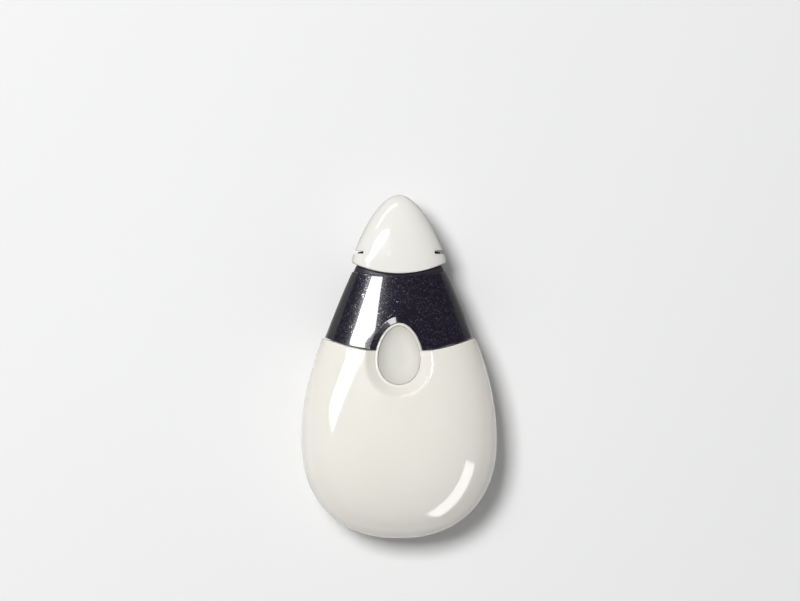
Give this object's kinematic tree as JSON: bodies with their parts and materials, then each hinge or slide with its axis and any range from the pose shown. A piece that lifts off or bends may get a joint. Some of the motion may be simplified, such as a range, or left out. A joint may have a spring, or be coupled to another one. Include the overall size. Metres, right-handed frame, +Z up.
{
  "type": "chalk wheel marker",
  "caption": "Drop-shaped chalk wheel marker with a powder container, finger rest, pull-off dark collar, toothed marking wheel and pull-off cap.",
  "frame": {"origin": "centre of the box on the surface that the marker lies on, under the middle of its length", "axes": "+Y along the length towards the cap's tip, +Z up out of the front face with the finger rest, +X to the right seen from the front"},
  "size_m": [0.0472, 0.0826, 0.024],
  "materials": {
    "body_plastic": "glossy off-white",
    "rest_plastic": "matt off-white",
    "neck_plastic": "plain moulded",
    "seal_rubber": "soft",
    "chalk": "powder",
    "collar_lacquer": "dark aubergine metallic lacquer",
    "holder_plastic": "dark aubergine, plain moulded",
    "wheel_steel": "stamped",
    "axle_steel": "ground",
    "cap_plastic": "glossy white"
  },
  "bodies": {
    "container": {"body_front_shell": "body_plastic", "body_back_shell": "body_plastic", "finger_rest": "rest_plastic", "filler_neck": "neck_plastic", "neck_seal": "seal_rubber", "chalk_powder": "chalk"},
    "front_unit": {"collar": "collar_lacquer", "wheel_holder": "holder_plastic", "wheel_axle": "axle_steel"},
    "wheel": {"marking_wheel": "wheel_steel"},
    "cap": {"cap": "cap_plastic"}
  },
  "joints": [
    {"name": "front_pull", "type": "slide", "parent": "container", "child": "front_unit", "axis": [0, 1, 0], "range_m": [0, 0.025]},
    {"name": "wheel_spin", "type": "hinge", "parent": "front_unit", "child": "wheel", "pos_m": [0, 0.03345, 0.0117], "axis": [1, 0, 0], "continuous": true},
    {"name": "cap_pull", "type": "slide", "parent": "front_unit", "child": "cap", "axis": [0, 1, 0], "range_m": [0, 0.022]}
  ]
}
